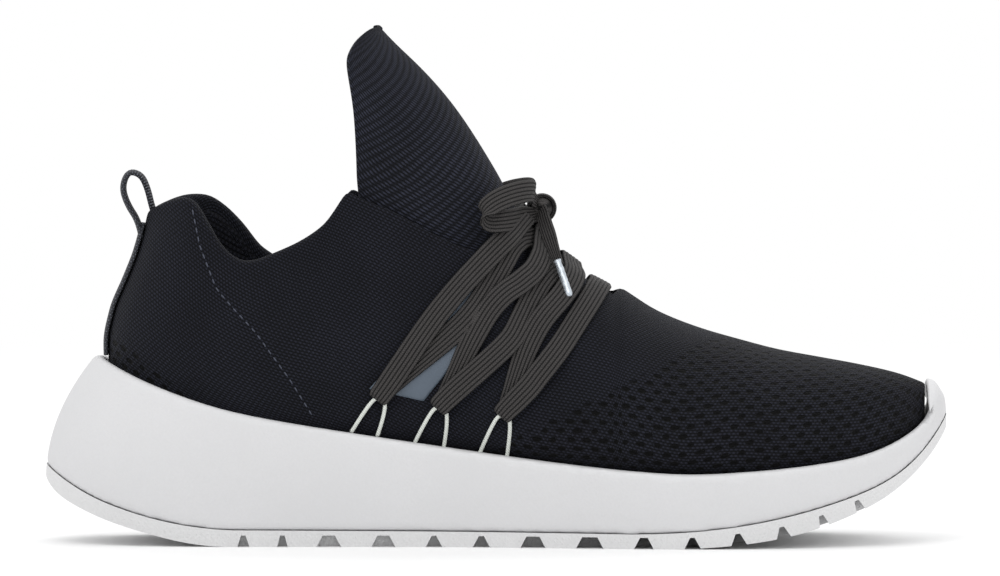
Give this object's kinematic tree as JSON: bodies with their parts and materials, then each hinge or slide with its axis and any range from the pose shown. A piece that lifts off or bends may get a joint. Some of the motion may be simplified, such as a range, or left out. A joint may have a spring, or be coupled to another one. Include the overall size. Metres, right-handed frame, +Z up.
{
  "type": "running shoe",
  "caption": "Slip-in knit running shoe for the right foot, with a tall swinging tongue, flat laces through side cord loops, a foam midsole and a lugged outsole.",
  "frame": {"origin": "centre of the bounding box at floor level, under the middle of the sole", "axes": "+X towards the toe, +Y towards the medial side, +Z up; a right shoe"},
  "size_m": [0.3002, 0.1062, 0.171],
  "materials": {
    "upper_knit": "matt knitted polyester with fine slanted rows",
    "tongue_knit": "matt knit with a coarser diagonal grid",
    "lining": "soft brushed mesh",
    "foam": "open-cell foam",
    "board": "fibre board",
    "sockliner_cover": "smooth woven top cloth",
    "midsole": "matt EVA foam with a fine grain",
    "outsole": "matt moulded tread",
    "webbing": "dotted woven tape",
    "cord": "white braided cord",
    "film": "satin heat-bonded film",
    "aglet": "satin metal tip",
    "lace": "flat ribbed woven lace"
  },
  "bodies": {
    "shoe": {"bow_loop_lateral": "lace", "bow_loop_medial": "lace", "collar_foam": "foam", "cord_loop_lateral_front": "cord", "cord_loop_lateral_middle": "cord", "cord_loop_lateral_rear": "cord", "cord_loop_medial_front": "cord", "cord_loop_medial_middle": "cord", "cord_loop_medial_rear": "cord", "heel_counter": "board", "heel_strip": "webbing", "lace_cross_1": "lace", "lace_cross_2": "lace", "lace_cross_3": "lace", "lace_cross_4": "lace", "lace_front_bar": "lace", "lace_knot": "lace", "lace_rear_lateral": "lace", "lace_rear_medial": "lace", "lasting_board": "board", "midsole": "midsole", "outsole": "outsole", "side_panel_lateral": "film", "side_panel_medial": "film", "sockliner_cover": "sockliner_cover", "sockliner_foam": "foam", "toe_puff": "board", "tongue_base_knit": "tongue_knit", "tongue_base_lining": "lining", "upper_knit": "upper_knit", "upper_lining": "lining", "vamp_backing": "foam"},
    "tongue_flap": {"tongue_flap_knit": "tongue_knit", "tongue_flap_lining": "lining"},
    "pull_tab": {"pull_tab": "webbing"},
    "lace_end_lateral": {"lace_tail_lateral": "lace", "aglet_lateral": "aglet"},
    "lace_end_medial": {"lace_tail_medial": "lace", "aglet_medial": "aglet"}
  },
  "joints": [
    {"name": "tongue_flap_hinge", "type": "hinge", "parent": "shoe", "child": "tongue_flap", "pos_m": [0.001, 0, 0.121], "axis": [0, 1, 0], "range_deg": [-8, 25], "stiffness_Nm_per_rad": 0.05},
    {"name": "pull_tab_hinge", "type": "hinge", "parent": "shoe", "child": "pull_tab", "pos_m": [-0.119, 0, 0.1056], "axis": [0, 1, 0], "range_deg": [-45, 0], "stiffness_Nm_per_rad": 0.01},
    {"name": "lace_end_lateral_hinge", "type": "hinge", "parent": "shoe", "child": "lace_end_lateral", "pos_m": [0.0194, -0.0072, 0.1057], "axis": [-0.6899, 0, 0.7239], "range_deg": [0, 40]},
    {"name": "lace_end_medial_hinge", "type": "hinge", "parent": "shoe", "child": "lace_end_medial", "pos_m": [0.0194, 0.0072, 0.1057], "axis": [0.6899, 0, -0.7239], "range_deg": [0, 40]}
  ]
}
